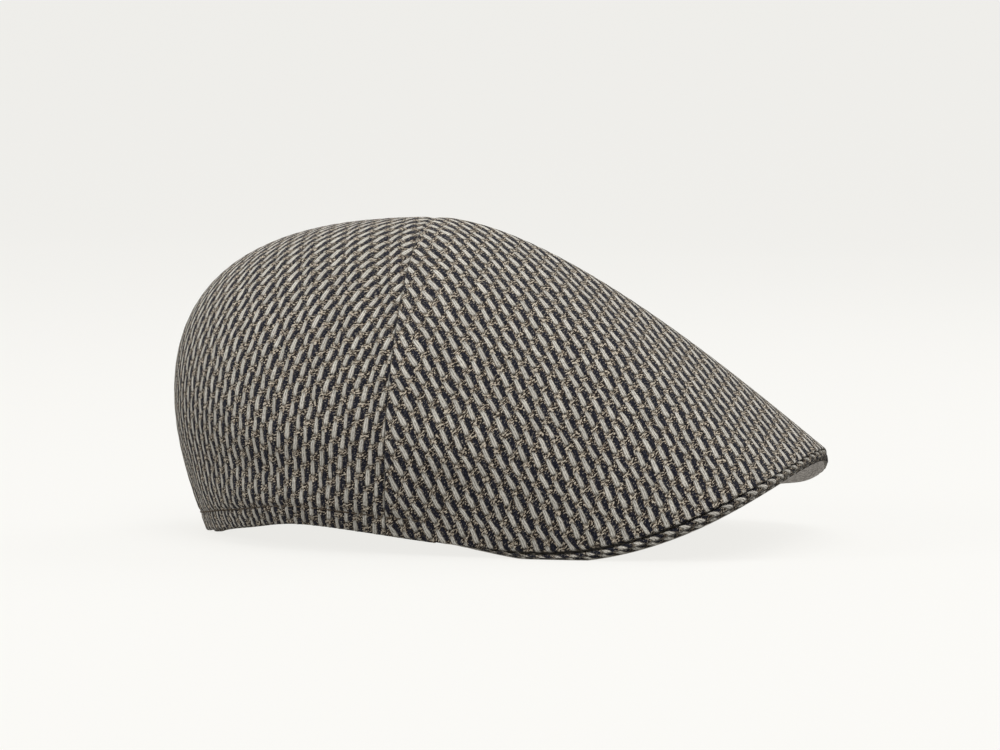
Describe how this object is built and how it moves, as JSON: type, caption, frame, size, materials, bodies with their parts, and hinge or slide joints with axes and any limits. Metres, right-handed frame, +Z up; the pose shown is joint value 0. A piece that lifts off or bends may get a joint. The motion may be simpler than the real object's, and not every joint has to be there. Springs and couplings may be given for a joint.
{
  "type": "tweed flat cap with a rounded peak",
  "caption": "Soft woven flat cap: a one-piece front panel sewn down to a stiff arched peak, a two-piece rear crown behind a cross seam, and a turned hem.",
  "frame": {"origin": "middle of the bounding box, on the surface that the cap rests on", "axes": "+X towards the tip of the peak, +Y to the wearer's left, +Z up"},
  "size_m": [0.2592, 0.1772, 0.1237],
  "materials": {
    "tweed": "coarse rib weave of cream, brown and blue-black wool yarns",
    "grey_cloth": "plain matt grey cloth"
  },
  "bodies": {
    "root": {"front_panel": "tweed", "rear_panel_right": "tweed", "rear_panel_left": "tweed", "peak_edge": "tweed", "peak_underside": "grey_cloth", "turned_hem": "tweed"}
  },
  "joints": []
}
